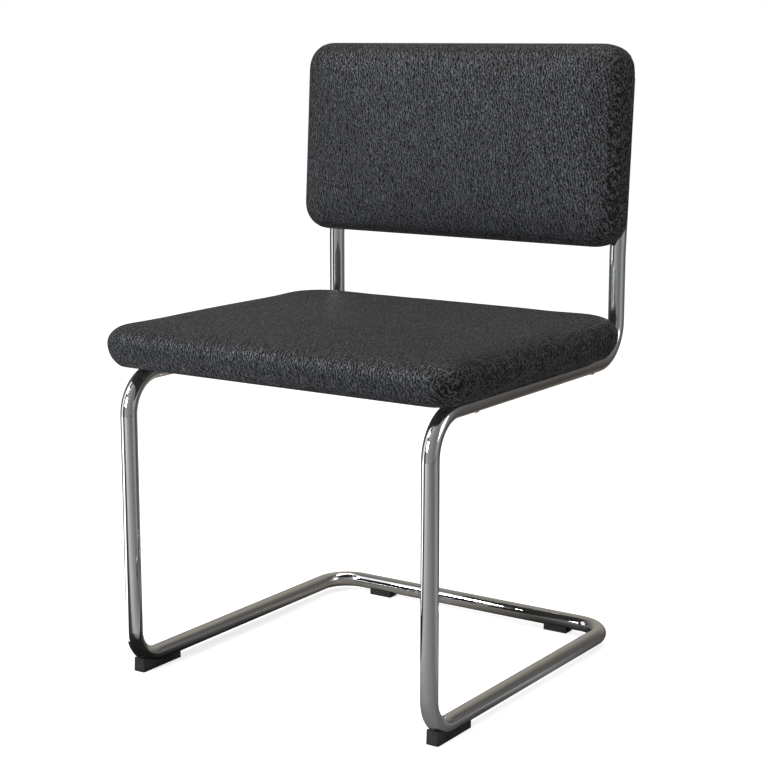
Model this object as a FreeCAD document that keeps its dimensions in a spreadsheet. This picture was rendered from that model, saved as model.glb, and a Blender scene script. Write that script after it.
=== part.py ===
import FreeCAD, Part
import Sketcher
import math
import os

# A cantilever dining chair: one bent tube carries a padded seat and a padded back.
# Millimetres, +Z up, the front faces -Y, the chair is symmetric about x = 0.
# The origin lies on the floor under the middle of the chair's outline in plan.

Vector = FreeCAD.Vector
Rule = Sketcher.Constraint

doc = FreeCAD.newDocument("cantilever_chair")
sheet = doc.addObject("Spreadsheet::Sheet", "Dims")

SIZES = [
    # The bent tube. Depths are measured back from the axis of the front legs.
    ("tube_diameter", 22.0),
    ("tube_wall", 2.0),
    ("frame_half_width", 231.5),
    ("frame_depth", 471.0),
    ("upright_lead", 2.0),
    ("rail_height", 403.0),
    ("top_bend_radius", 53.0),
    ("foot_bend_radius", 42.0),
    ("corner_bend_radius", 44.0),
    ("rake_rise", 141.5),
    ("rake_angle", 3.7),
    ("rake_bend_radius", 200.0),
    ("upright_drop", 45.0),
    # The plastic plugs in the two open tube ends.
    ("cap_disc", 2.5),
    ("cap_edge", 0.8),
    ("cap_stem", 14.0),
    ("cap_gap", 0.15),
    # The plastic glides under the floor tube.
    ("glide_thickness", 5.5),
    ("glide_width", 18.0),
    ("glide_rise", 3.8),
    ("glide_gap", 0.1),
    ("front_glide_toe", 6.0),
    ("front_glide_lean", 1.0),
    ("front_glide_tail", 40.0),
    ("front_glide_corner", 2.5),
    ("rear_glide_length", 36.0),
    ("rear_glide_offset", 150.0),
    ("peg_diameter", 6.0),
    ("peg_gap", 0.15),
    ("peg_barb", 0.6),
    ("peg_barb_height", 2.5),
    # The seat pad. Its frame stands on the rails, x across, y to the rear and z up.
    ("seat_side_overhang", 26.5),
    ("seat_front_overhang", 19.3),
    ("seat_rear_gap", 9.5),
    ("seat_thickness", 50.6),
    ("seat_crown", 4.4),
    ("seat_widest", 30.0),
    ("seat_edge_round", 21.0),
    ("seat_low_tuck", 13.0),
    ("seat_high_tuck", 24.0),
    ("seat_low_corner", 37.0),
    ("seat_high_corner", 60.0),
    ("seat_front_screw", 101.0),
    ("seat_rear_screw", 69.0),
    # The back pad. Its frame lies on the leaning uprights, x across, y up and z to the front.
    ("back_side_overhang", 9.5),
    ("back_start", 10.3),
    ("back_height", 267.5),
    ("back_thickness", 56.3),
    ("back_crown", 4.0),
    ("back_widest", 28.9),
    ("back_edge_round", 16.5),
    ("back_low_tuck", 2.0),
    ("back_high_tuck", 2.0),
    ("back_low_corner", 35.0),
    ("back_high_corner", 35.0),
    ("back_low_screw", 42.0),
    ("back_high_screw", 35.0),
    # What both pads share.
    ("pad_gap", 0.3),
    ("fit_gap", 0.3),
    ("layer_gap", 0.1),
    ("corner_share", 0.6),
    ("cover_thickness", 1.2),
    ("board_thickness", 12.0),
    ("board_inset", 2.0),
    ("return_width", 45.0),
    ("return_margin", 14.0),
    ("layer_lap", 10.0),
    ("cloth_thickness", 0.8),
    ("panel_thickness", 3.0),
    # Machine screws with raised countersunk heads, and the flanged nuts they turn into.
    ("screw_diameter", 4.9),
    ("screw_hole", 5.6),
    ("screw_head", 9.2),
    ("screw_sink", 0.5),
    ("screw_dome", 1.8),
    ("screw_short", 2.6),
    ("head_gap", 0.1),
    ("socket_width", 3.0),
    ("socket_depth", 2.0),
    ("nut_bore", 5.0),
    ("nut_flange_diameter", 16.0),
    ("nut_flange", 1.4),
    ("nut_barrel_diameter", 7.0),
    ("nut_barrel_short", 4.0),
    # Staples of flat wire, and the push-in studs of the rear panel.
    ("staple_crown", 10.0),
    ("staple_wire", 1.2),
    ("staple_flat", 0.6),
    ("staple_leg", 8.0),
    ("staple_margin", 24.0),
    ("staple_clear", 2.0),
    ("stud_diameter", 6.0),
    ("stud_length", 9.0),
    ("stud_margin", 30.0),
]

for row, (name, size) in enumerate(SIZES, start=1):
    sheet.set("A" + str(row), name)
    sheet.set("B" + str(row), str(size))
    sheet.setAlias("B" + str(row), name)
doc.recompute()

# Expressions that several pieces share.
TUBE_RADIUS = "(Dims.tube_diameter / 2)"
RUNNER_HEIGHT = "(Dims.glide_thickness + Dims.tube_diameter / 2)"
RUNNER_MIDDLE = "(Dims.frame_depth / 2)"
UPRIGHT_SETBACK = "(Dims.frame_depth - Dims.upright_lead)"
UPRIGHT_REACH = "(Dims.back_start + Dims.back_height - Dims.upright_drop)"
RAKE_HEIGHT = "(Dims.rail_height + Dims.rake_rise)"
RAKE = "(Dims.rake_angle * 1 deg)"
TUBE_TO_PAD = "(Dims.tube_diameter / 2 + Dims.pad_gap)"
PEG_SETBACK = "(Dims.foot_bend_radius + Dims.front_glide_tail / 2)"
BOARD_BASE = "(Dims.cover_thickness + Dims.fit_gap)"
BOARD_TOP = "(Dims.cover_thickness + Dims.fit_gap + Dims.board_thickness)"
HEAD_PLANE = "(Dims.screw_sink - Dims.pad_gap - Dims.tube_diameter)"

# The chair reaches from the front edge of the seat to the rear of the plugs in the uprights.
PLUG_REACH = f"({UPRIGHT_REACH} + Dims.layer_gap + Dims.cap_disc - Dims.cap_edge)"
REAR_REACH = f"({UPRIGHT_SETBACK} + {PLUG_REACH} * sin({RAKE}) + {TUBE_RADIUS} * cos({RAKE}))"
ORIGIN_SETBACK = f"(({REAR_REACH} - Dims.seat_front_overhang) / 2)"

# The reach of each pad and of its screws, in the pad's own frame.
PADS = {
    "seat": {
        "half": f"(Dims.frame_half_width + {TUBE_RADIUS} + Dims.seat_side_overhang)",
        "low": "(-Dims.seat_front_overhang)",
        "high": f"({UPRIGHT_SETBACK} - {TUBE_RADIUS} - Dims.seat_rear_gap)",
        "low_screw": "Dims.seat_front_screw",
        "high_screw": f"({UPRIGHT_SETBACK} - Dims.seat_rear_screw)",
    },
    "back": {
        "half": f"(Dims.frame_half_width + {TUBE_RADIUS} + Dims.back_side_overhang)",
        "low": "Dims.back_start",
        "high": "(Dims.back_start + Dims.back_height)",
        "low_screw": "(Dims.back_start + Dims.back_low_screw)",
        "high_screw": f"({UPRIGHT_REACH} - Dims.back_high_screw)",
    },
}

NODES = []


def finish(name, item):
    """Names a finished sub-part and lists it."""
    item.Label = name
    NODES.append(item)
    return item


def number(expression):
    """The value of an expression of the sheet's sizes."""
    return float(sheet.evalExpression(expression))


def new_body(name, frame):
    """An empty body in the chair's, the seat pad's or the back pad's frame."""
    body = doc.addObject("PartDesign::Body", name)
    body.AllowCompound = True
    depth = {
        "chair": f"-{ORIGIN_SETBACK}",
        "seat": f"-{ORIGIN_SETBACK}",
        "back": f"{UPRIGHT_SETBACK} - {TUBE_TO_PAD} * cos({RAKE}) - {ORIGIN_SETBACK}",
    }
    height = {
        "chair": "0",
        "seat": f"Dims.rail_height + {TUBE_TO_PAD}",
        "back": f"{RAKE_HEIGHT} + {TUBE_TO_PAD} * sin({RAKE})",
    }
    if frame == "back":
        body.Placement = FreeCAD.Placement(Vector(), FreeCAD.Rotation(Vector(1, 0, 0), 90))
        body.setExpression("Placement.Rotation.Angle", f"90 deg - {RAKE}")
    body.setExpression("Placement.Base.y", depth[frame])
    body.setExpression("Placement.Base.z", height[frame])
    return body


def origin_feature(body, role):
    """One of the planes or axes of the body's own origin."""
    return next(item for item in body.Origin.OriginFeatures if item.Role == role)


def new_sketch(body, name, role, offset=("0", "0", "0")):
    """A sketch on an origin plane of its body, moved by three expressions."""
    sketch = body.newObject("Sketcher::SketchObject", name)
    sketch.AttachmentSupport = [(origin_feature(body, role), "")]
    sketch.MapMode = "FlatFace"
    for axis, expression in zip("xyz", offset):
        if expression != "0":
            sketch.setExpression("AttachmentOffset.Base." + axis, expression)
    return sketch


def add_line(sketch, start, end):
    """A straight edge between two points, each a pair of numbers."""
    sketch.addGeometry(Part.LineSegment(Vector(*start), Vector(*end)), False)


def add_arc(sketch, centre, radius, start, end):
    """An arc from one angle to another, in radians."""
    circle = Part.Circle(Vector(*centre), Vector(0, 0, 1), radius)
    sketch.addGeometry(Part.ArcOfCircle(circle, start, end), False)


def hold(sketch, kind, geometry, expression):
    """A dimension of the sketch that follows an expression."""
    index = sketch.addConstraint(Rule(kind, *geometry, number(expression)))
    sketch.renameConstraint(index, "size" + str(index))
    sketch.setExpression("Constraints.size" + str(index), expression)


def hold_point(sketch, edge, end, x, y):
    """Places one end or centre of an edge by two expressions."""
    for kind, axis, expression in (("DistanceX", -2, x), ("DistanceY", -1, y)):
        if expression == "0":
            sketch.addConstraint(Rule("PointOnObject", edge, end, axis))
        else:
            hold(sketch, kind, (-1, 1, edge, end), expression)


def draw_polygon(sketch, points):
    """A closed outline of straight lines through points, each a pair of expressions."""
    corners = [(number(x), number(y)) for x, y in points]
    count = len(corners)
    for index, corner in enumerate(corners):
        add_line(sketch, corner, corners[(index + 1) % count])
    for index in range(count):
        sketch.addConstraint(Rule("Coincident", index, 2, (index + 1) % count, 1))
    for index, (x, y) in enumerate(points):
        hold_point(sketch, index, 1, x, y)


def draw_circles(sketch, centres, diameter):
    """Circles of one diameter round centres, each a pair of expressions."""
    for x, y in centres:
        circle = Part.Circle(Vector(number(x), number(y)), Vector(0, 0, 1), number(diameter) / 2)
        edge = sketch.addGeometry(circle, False)
        hold_point(sketch, edge, 3, x, y)
        hold(sketch, "Diameter", (edge,), diameter)


def draw_rounded(sketch, half, low, high, low_radius, high_radius):
    """A rectangle with rounded corners, symmetric about the sketch's y axis."""
    x, y0, y1, r0, r1 = [number(item) for item in (half, low, high, low_radius, high_radius)]
    quarter = math.pi / 2
    add_line(sketch, (r0 - x, y0), (x - r0, y0))
    add_arc(sketch, (x - r0, y0 + r0), r0, -quarter, 0)
    add_line(sketch, (x, y0 + r0), (x, y1 - r1))
    add_arc(sketch, (x - r1, y1 - r1), r1, 0, quarter)
    add_line(sketch, (x - r1, y1), (r1 - x, y1))
    add_arc(sketch, (r1 - x, y1 - r1), r1, quarter, 2 * quarter)
    add_line(sketch, (-x, y1 - r1), (-x, y0 + r0))
    add_arc(sketch, (r0 - x, y0 + r0), r0, 2 * quarter, 3 * quarter)
    for index in range(8):
        sketch.addConstraint(Rule("Tangent", index, 2, (index + 1) % 8, 1))
    for index, kind in ((0, "Horizontal"), (2, "Vertical"), (4, "Horizontal"), (6, "Vertical")):
        sketch.addConstraint(Rule(kind, index))
    sketch.addConstraint(Rule("Equal", 1, 7))
    sketch.addConstraint(Rule("Equal", 3, 5))
    hold(sketch, "Radius", (1,), low_radius)
    hold(sketch, "Radius", (3,), high_radius)
    hold(sketch, "DistanceX", (-1, 1, 2, 1), half)
    hold(sketch, "DistanceX", (6, 1, -1, 1), half)
    hold(sketch, "DistanceY", (-1, 1, 0, 1), low)
    hold(sketch, "DistanceY", (-1, 1, 4, 1), high)


def feature(body, kind, name, profile=None, length=None):
    """A PartDesign feature of a sketch, with its length held by an expression."""
    result = body.newObject("PartDesign::" + kind, name)
    if profile is not None:
        result.Profile = (profile, [""])
    if length is not None:
        result.setExpression("Length", length)
    return result


def sweep(body, kind, name, profile, path):
    """A section swept along a path, added to the body or cut from it."""
    pipe = feature(body, kind, name, profile)
    pipe.Spine = (path, [""])
    return pipe


def turned(body, name, profile):
    """A sketch turned about its own vertical axis."""
    result = feature(body, "Revolution", name, profile)
    result.ReferenceAxis = (profile, ["V_Axis"])
    result.Angle = 360
    return result


def row_of(body, name, axis, length, count):
    """One direction of a pattern: copies along an axis of the body, over a length."""
    row = body.newObject("PartDesign::LinearPattern", name)
    row.Direction = (origin_feature(body, axis), [""])
    row.setExpression("Length", length)
    row.Occurrences = count
    return row


def repeat(body, name, features, *steps):
    """Repeats features by several pattern steps, one after another."""
    pattern = body.newObject("PartDesign::MultiTransform", name)
    pattern.Originals = features
    pattern.Transformations = list(steps)
    body.Tip = pattern
    return pattern


def cut_down(body, name, sketch, length):
    """A pocket below its sketch that has to take material away."""
    doc.recompute()
    before = body.Shape.Volume
    pocket = feature(body, "Pocket", name, sketch, length)
    doc.recompute()
    if not pocket.Shape.Volume < before - 1e-6:
        raise RuntimeError(name + " cuts nothing")
    return pocket


def shaped(name, base, *tools):
    """The base without the tools, as a finished sub-part."""
    result = doc.addObject("Part::Cut", name + "_cut")
    result.Base = base
    if len(tools) == 1:
        result.Tool = tools[0]
    else:
        group = doc.addObject("Part::Compound", name + "_tools")
        group.Links = list(tools)
        result.Tool = group
    return finish(name, result)


# The bent tube: a floor part with the two rear corners, and a side that rises from it.


def draw_floor_path(sketch):
    """The centreline on the floor, from the middle of one runner to the other."""
    half = number("Dims.frame_half_width")
    depth = number("Dims.frame_depth")
    radius = number("Dims.corner_bend_radius")
    quarter = math.pi / 2
    add_line(sketch, (half, depth / 2), (half, depth - radius))
    add_arc(sketch, (half - radius, depth - radius), radius, 0, quarter)
    add_line(sketch, (half - radius, depth), (radius - half, depth))
    add_arc(sketch, (radius - half, depth - radius), radius, quarter, 2 * quarter)
    add_line(sketch, (-half, depth - radius), (-half, depth / 2))
    for index in range(4):
        sketch.addConstraint(Rule("Tangent", index, 2, index + 1, 1))
    for index, kind in ((0, "Vertical"), (2, "Horizontal"), (4, "Vertical")):
        sketch.addConstraint(Rule(kind, index))
    sketch.addConstraint(Rule("Equal", 1, 3))
    hold(sketch, "Radius", (1,), "Dims.corner_bend_radius")
    hold_point(sketch, 0, 1, "Dims.frame_half_width", RUNNER_MIDDLE)
    hold_point(sketch, 4, 2, "-Dims.frame_half_width", RUNNER_MIDDLE)
    hold(sketch, "DistanceY", (-1, 1, 2, 1), "Dims.frame_depth")


def draw_side_path(sketch):
    """The centreline of one side, from the middle of the runner to the top of the upright."""
    runner = number(RUNNER_HEIGHT)
    rail = number("Dims.rail_height")
    foot = number("Dims.foot_bend_radius")
    top = number("Dims.top_bend_radius")
    setback = number(UPRIGHT_SETBACK)
    rake = math.radians(number("Dims.rake_angle"))
    rake_radius = number("Dims.rake_bend_radius")
    rake_height = number(RAKE_HEIGHT)
    reach = number(UPRIGHT_REACH)
    turn = math.pi
    lead = rake_radius * math.tan(rake / 2)

    def leaning(distance):
        return setback + distance * math.sin(rake), rake_height + distance * math.cos(rake)

    add_line(sketch, (number(RUNNER_MIDDLE), runner), (foot, runner))
    add_arc(sketch, (foot, runner + foot), foot, turn, 1.5 * turn)
    add_line(sketch, (0, runner + foot), (0, rail - top))
    add_arc(sketch, (top, rail - top), top, 0.5 * turn, turn)
    add_line(sketch, (top, rail), (setback - top, rail))
    add_arc(sketch, (setback - top, rail + top), top, -0.5 * turn, 0)
    add_line(sketch, (setback, rail + top), (setback, rake_height - lead))
    add_arc(sketch, (setback + rake_radius, rake_height - lead), rake_radius, turn - rake, turn)
    add_line(sketch, leaning(lead), leaning(reach))
    # An arc runs anticlockwise, so the ends that meet depend on which way the tube turns.
    joints = ((0, 2, 1, 2), (1, 1, 2, 1), (2, 2, 3, 2), (3, 1, 4, 1))
    joints += ((4, 2, 5, 1), (5, 2, 6, 1), (6, 2, 7, 2), (7, 1, 8, 1))
    for joint in joints:
        sketch.addConstraint(Rule("Tangent", *joint))
    for index, kind in ((0, "Horizontal"), (2, "Vertical"), (4, "Horizontal"), (6, "Vertical")):
        sketch.addConstraint(Rule(kind, index))
    hold(sketch, "Radius", (1,), "Dims.foot_bend_radius")
    hold(sketch, "Radius", (3,), "Dims.top_bend_radius")
    sketch.addConstraint(Rule("Equal", 3, 5))
    hold(sketch, "Radius", (7,), "Dims.rake_bend_radius")
    hold_point(sketch, 0, 1, RUNNER_MIDDLE, RUNNER_HEIGHT)
    sketch.addConstraint(Rule("PointOnObject", 2, 1, -2))
    hold(sketch, "DistanceY", (-1, 1, 4, 1), "Dims.rail_height")
    hold(sketch, "DistanceX", (-1, 1, 6, 1), UPRIGHT_SETBACK)
    hold(sketch, "DistanceY", (-1, 1, 6, 2), f"{RAKE_HEIGHT} - Dims.rake_bend_radius * tan({RAKE} / 2)")
    end_depth = f"{UPRIGHT_SETBACK} + {UPRIGHT_REACH} * sin({RAKE})"
    end_height = f"{RAKE_HEIGHT} + {UPRIGHT_REACH} * cos({RAKE})"
    hold_point(sketch, 8, 2, end_depth, end_height)


def draw_tube_section(sketch):
    """The tube's wall, as two circles round the runner's centreline."""
    centre = [("Dims.frame_half_width", RUNNER_HEIGHT)]
    draw_circles(sketch, centre, "Dims.tube_diameter")
    draw_circles(sketch, centre, "(Dims.tube_diameter - 2 * Dims.tube_wall)")


def make_bent_tube():
    """One tube with no joint in it. Both sweeps start at the middle of a runner."""
    body = new_body("bent_tube", "chair")
    floor_path = new_sketch(body, "floor_path", "XY_Plane", ("0", "0", RUNNER_HEIGHT))
    draw_floor_path(floor_path)
    side_path = new_sketch(body, "side_path", "YZ_Plane", ("0", "0", "Dims.frame_half_width"))
    draw_side_path(side_path)
    section = new_sketch(body, "tube_section", "XZ_Plane", ("0", "0", f"-{RUNNER_MIDDLE}"))
    draw_tube_section(section)
    doc.recompute()
    sweep(body, "AdditivePipe", "floor_tube", section, floor_path)
    doc.recompute()
    side_tube = sweep(body, "AdditivePipe", "side_tube", section, side_path)
    doc.recompute()
    both_sides = feature(body, "Mirrored", "both_sides")
    both_sides.Originals = [side_tube]
    both_sides.MirrorPlane = (origin_feature(body, "YZ_Plane"), [""])
    body.Tip = both_sides
    doc.recompute()
    return body


def turned_at_screw(body, name, pad, outline):
    """A turned shape on the axis of one screw. Its outline is pairs of radius and height."""
    offset = ("Dims.frame_half_width", "0", f"-{PADS[pad]['low_screw']}")
    sketch = new_sketch(body, name + "_outline", "XZ_Plane", offset)
    draw_polygon(sketch, outline)
    doc.recompute()
    return turned(body, name, sketch)


def at_screws(body, features, pad):
    """Repeats features, made at one screw, at all four screws of a pad."""
    spacing = f"{PADS[pad]['high_screw']} - {PADS[pad]['low_screw']}"
    row = row_of(body, "along_tube", "Y_Axis", spacing, 2)
    other = body.newObject("PartDesign::Mirrored", "on_both_tubes")
    other.MirrorPlane = (origin_feature(body, "YZ_Plane"), [""])
    repeat(body, "at_screws", features, row, other)


def screw_centres(pad):
    """The four screw axes of a pad."""
    return [
        (f"{sign}Dims.frame_half_width", PADS[pad][end + "_screw"])
        for sign in ("", "-")
        for end in ("low", "high")
    ]


def make_tube_drill(pad):
    """The countersunk holes that a pad's screws need through the tube."""
    body = new_body(pad + "_tube_drill", pad)
    head = "(Dims.screw_head / 2 + Dims.head_gap)"
    shank = "(Dims.screw_hole / 2)"
    # The countersink has walls at 45 degrees.
    neck = f"({HEAD_PLANE} + {head} - {shank})"
    below = f"({HEAD_PLANE} - {TUBE_RADIUS})"
    drill = turned_at_screw(body, pad + "_drill", pad, [
        ("0", "Dims.pad_gap"),
        (shank, "Dims.pad_gap"),
        (shank, neck),
        (head, HEAD_PLANE),
        (head, below),
        ("0", below),
    ])
    at_screws(body, [drill], pad)
    return body


def make_peg_drill():
    """The holes in the floor tube that the pegs of the four glides snap into."""
    body = new_body("peg_drill", "chair")
    sketch = new_sketch(body, "peg_holes", "XY_Plane", ("0", "0", "Dims.glide_thickness - Dims.tube_wall"))
    centres = []
    for sign in ("", "-"):
        centres.append((f"{sign}Dims.frame_half_width", PEG_SETBACK))
        centres.append((f"{sign}Dims.rear_glide_offset", "Dims.frame_depth"))
    draw_circles(sketch, centres, "Dims.peg_diameter + 2 * Dims.peg_gap")
    doc.recompute()
    feature(body, "Pad", "peg_drills", sketch, TUBE_RADIUS)
    return body


shaped("tube_frame", make_bent_tube(), make_tube_drill("seat"), make_tube_drill("back"), make_peg_drill())


# The plugs in the tube ends.


def make_cap(name, side):
    """A domed disc on the tube's end, with a stem in its bore."""
    body = new_body(name, "back")
    offset = (f"{side} * Dims.frame_half_width", "0", f"-{TUBE_TO_PAD}")
    sketch = new_sketch(body, "cap_outline", "XY_Plane", offset)
    seat = f"({UPRIGHT_REACH} + Dims.layer_gap)"
    stem = f"({TUBE_RADIUS} - Dims.tube_wall - Dims.cap_gap)"
    draw_polygon(sketch, [
        ("0", f"{seat} - Dims.cap_stem"),
        (f"{stem} - Dims.cap_edge", f"{seat} - Dims.cap_stem"),
        (stem, f"{seat} - Dims.cap_stem + 2 * Dims.cap_edge"),
        (stem, seat),
        (TUBE_RADIUS, seat),
        (TUBE_RADIUS, f"{seat} + Dims.cap_disc - Dims.cap_edge"),
        (f"{TUBE_RADIUS} - Dims.cap_edge", f"{seat} + Dims.cap_disc"),
        ("0", f"{seat} + Dims.cap_disc"),
    ])
    doc.recompute()
    turned(body, "plug", sketch)
    finish(name, body)


make_cap("upright_cap_left", -1)
make_cap("upright_cap_right", 1)


# The glides: saddles that the tube lies in, each with a barbed peg.


def make_peg(body, x, y):
    """A peg through the tube's lower wall, with a barb that catches inside it."""
    sketch = new_sketch(body, "peg_outline", "XZ_Plane", (x, "0", f"-{y}"))
    radius = "(Dims.peg_diameter / 2)"
    barb = f"({radius} + Dims.peg_barb)"
    root = "(Dims.glide_thickness - Dims.tube_wall)"
    bore = f"({TUBE_RADIUS} - Dims.tube_wall)"
    # The barb clears the round inside of the tube at its widest.
    catch = f"({RUNNER_HEIGHT} - sqrt({bore}^2 - {barb}^2) + Dims.layer_gap)"
    draw_polygon(sketch, [
        ("0", root),
        (radius, root),
        (radius, catch),
        (barb, catch),
        (f"{radius} - Dims.peg_barb", f"{catch} + Dims.peg_barb_height"),
        ("0", f"{catch} + Dims.peg_barb_height"),
    ])
    doc.recompute()
    turned(body, "peg", sketch)


def slanting_edges(shape, bottom):
    """Names of the edges that rise steeply from a point at a given depth on the floor."""
    names = []
    for index, edge in enumerate(shape.Edges, start=1):
        ends = sorted((vertex.Point for vertex in edge.Vertexes), key=lambda point: point.z)
        if len(ends) == 2 and abs(ends[0].y - bottom) < 0.01 and ends[1].z - ends[0].z > 1:
            names.append("Edge" + str(index))
    return names


def draw_foot_bend(sketch):
    """The centreline round the front floor bend, from the runner's middle up the leg."""
    runner = number(RUNNER_HEIGHT)
    foot = number("Dims.foot_bend_radius")
    add_line(sketch, (number(RUNNER_MIDDLE), runner), (foot, runner))
    add_arc(sketch, (foot, runner + foot), foot, math.pi, 1.5 * math.pi)
    add_line(sketch, (0, runner + foot), (0, number("Dims.rail_height / 2")))
    sketch.addConstraint(Rule("Tangent", 0, 2, 1, 2))
    sketch.addConstraint(Rule("Tangent", 1, 1, 2, 1))
    sketch.addConstraint(Rule("Horizontal", 0))
    sketch.addConstraint(Rule("Vertical", 2))
    hold(sketch, "Radius", (1,), "Dims.foot_bend_radius")
    hold_point(sketch, 0, 1, RUNNER_MIDDLE, RUNNER_HEIGHT)
    hold_point(sketch, 2, 2, "0", "Dims.rail_height / 2")


def make_front_glide(name, side):
    """A wedge under the front bend: tall at the toe, thin at the heel."""
    body = new_body(name, "chair")
    across = f"{side} * Dims.frame_half_width"
    profile = new_sketch(body, "wedge_outline", "YZ_Plane", ("0", "0", across))
    heel = "(Dims.foot_bend_radius + Dims.front_glide_tail)"
    low_top = "(Dims.glide_thickness + Dims.glide_rise)"
    crest = "(Dims.front_glide_toe + Dims.front_glide_lean)"
    # The toe ends where it meets the outside of the bend.
    outer = f"(Dims.foot_bend_radius + {TUBE_RADIUS})"
    drop = f"sqrt({outer}^2 - (Dims.foot_bend_radius - {crest})^2)"
    high_top = f"({RUNNER_HEIGHT} + Dims.foot_bend_radius - {drop} + Dims.layer_gap)"
    draw_polygon(profile, [
        ("Dims.front_glide_toe", "0"),
        (heel, "0"),
        (heel, low_top),
        ("Dims.foot_bend_radius", low_top),
        (crest, high_top),
    ])
    doc.recompute()
    wedge = feature(body, "Pad", "wedge", profile, "Dims.glide_width")
    wedge.Midplane = True
    doc.recompute()
    rounding = feature(body, "Fillet", "toe_rounding")
    rounding.Base = (wedge, slanting_edges(wedge.Shape, number("Dims.front_glide_toe")))
    rounding.setExpression("Radius", "Dims.front_glide_corner")
    doc.recompute()
    centreline = new_sketch(body, "lower_centreline", "YZ_Plane", ("0", "0", across))
    draw_foot_bend(centreline)
    section = new_sketch(body, "saddle_section", "XZ_Plane", ("0", "0", f"-{RUNNER_MIDDLE}"))
    draw_circles(section, [(across, RUNNER_HEIGHT)], "Dims.tube_diameter + 2 * Dims.glide_gap")
    doc.recompute()
    sweep(body, "SubtractivePipe", "saddle", section, centreline)
    doc.recompute()
    make_peg(body, across, PEG_SETBACK)
    finish(name, body)


def make_rear_glide(name, side):
    """A short block under the crossbar."""
    body = new_body(name, "chair")
    centre = f"{side} * Dims.rear_glide_offset"
    base = new_sketch(body, "block_outline", "XZ_Plane", (centre, "0", "-Dims.frame_depth"))
    half = "Dims.rear_glide_length / 2"
    low_top = "Dims.glide_thickness + Dims.glide_rise"
    draw_polygon(base, [(f"-{half}", "0"), (half, "0"), (half, low_top), (f"-{half}", low_top)])
    doc.recompute()
    block = feature(body, "Pad", "block", base, "Dims.glide_width")
    block.Midplane = True
    doc.recompute()
    beyond = f"{centre} + Dims.rear_glide_length"
    groove = new_sketch(body, "saddle_section", "YZ_Plane", ("0", "0", beyond))
    draw_circles(groove, [("Dims.frame_depth", RUNNER_HEIGHT)], "Dims.tube_diameter + 2 * Dims.glide_gap")
    cut_down(body, "saddle", groove, "2 * Dims.rear_glide_length")
    make_peg(body, centre, "Dims.frame_depth")
    finish(name, body)


make_front_glide("front_glide_left", -1)
make_front_glide("front_glide_right", 1)
make_rear_glide("rear_glide_left", -1)
make_rear_glide("rear_glide_right", 1)


# The two pads. Each is a plywood board under foam, wrapped in one sheet of leather.


def side_rings(pad):
    """Height, low inset and high inset of the pad's outline, up to the edge of its top."""
    widest = f"Dims.{pad}_widest"
    tuck = f"Dims.{pad}_low_tuck"
    share = f"(Dims.{pad}_high_tuck / Dims.{pad}_low_tuck)"
    curve = f"(({widest}^2 + {tuck}^2) / (2 * {tuck}))"
    rings = []
    # Below the widest line the side curves in to the board on an arc.
    for part in (1, 0.75, 0.5, 0.25):
        inset = f"({curve} - sqrt({curve}^2 - ({part} * {widest})^2))"
        rings.append((f"({1 - part} * {widest})", inset, f"({inset} * {share})"))
    rings.append((widest, "0", "0"))
    # Above it the side rolls over on a quarter of an ellipse.
    for angle in (25, 45, 65, 80, 90):
        rise = f"(sin({angle} deg) * (Dims.{pad}_thickness - {widest}))"
        inset = f"((1 - cos({angle} deg)) * Dims.{pad}_edge_round)"
        rings.append((f"({widest} + {rise})", inset, inset))
    return rings


def crown_rings(pad):
    """The same for the top, which swells gently towards its middle."""
    rings = []
    middle = f"(({PADS[pad]['high']} - {PADS[pad]['low']}) / 2)"
    for part in (0, 0.3, 0.6, 0.9):
        swell = f"({1 - (1 - part) ** 2:.2f} * Dims.{pad}_crown)"
        inset = f"(Dims.{pad}_edge_round + {part} * ({middle} - Dims.{pad}_edge_round))"
        rings.append((f"(Dims.{pad}_thickness + {swell})", inset, inset))
    return rings


def ring_loft(body, kind, name, pad, rings, inward):
    """A solid through rings, smaller all round by the expression inward."""
    reach = PADS[pad]
    rounding = f"Dims.{pad}_edge_round"
    whole = f"(Dims.{pad}_thickness + Dims.{pad}_crown)"
    sections = []
    for index, (height, low_inset, high_inset) in enumerate(rings):
        level = f"{inward} + {height} * (1 - 2 * {inward} / {whole})"
        sketch = new_sketch(body, f"{name}_ring{index}", "XY_Plane", ("0", "0", level))
        draw_rounded(
            sketch,
            f"{reach['half']} - {low_inset} - {inward}",
            f"{reach['low']} + {low_inset} + {inward}",
            f"{reach['high']} - {high_inset} - {inward}",
            f"Dims.{pad}_low_corner - Dims.corner_share * min({low_inset}; {rounding}) - {inward}",
            f"Dims.{pad}_high_corner - Dims.corner_share * min({high_inset}; {rounding}) - {inward}",
        )
        sections.append(sketch)
    doc.recompute()
    loft = feature(body, kind, name, sections[0])
    loft.Sections = [(section, [""]) for section in sections[1:]]
    doc.recompute()


def pad_loft(body, kind, name, pad, inward):
    """The whole crowned form of a pad, added to the body or cut from it."""
    ring_loft(body, kind, name + "_sides", pad, side_rings(pad), inward)
    ring_loft(body, kind, name + "_crown", pad, crown_rings(pad), inward)


def board_outline(sketch, pad, outward):
    """The board's rounded outline, larger all round by the expression outward."""
    reach = PADS[pad]
    low = f"(Dims.{pad}_low_tuck + Dims.cover_thickness + Dims.board_inset - {outward})"
    high = f"(Dims.{pad}_high_tuck + Dims.cover_thickness + Dims.board_inset - {outward})"
    draw_rounded(
        sketch,
        f"{reach['half']} - {low}",
        f"{reach['low']} + {low}",
        f"{reach['high']} - {high}",
        f"Dims.{pad}_low_corner - Dims.corner_share * {low}",
        f"Dims.{pad}_high_corner - Dims.corner_share * {high}",
    )


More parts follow.
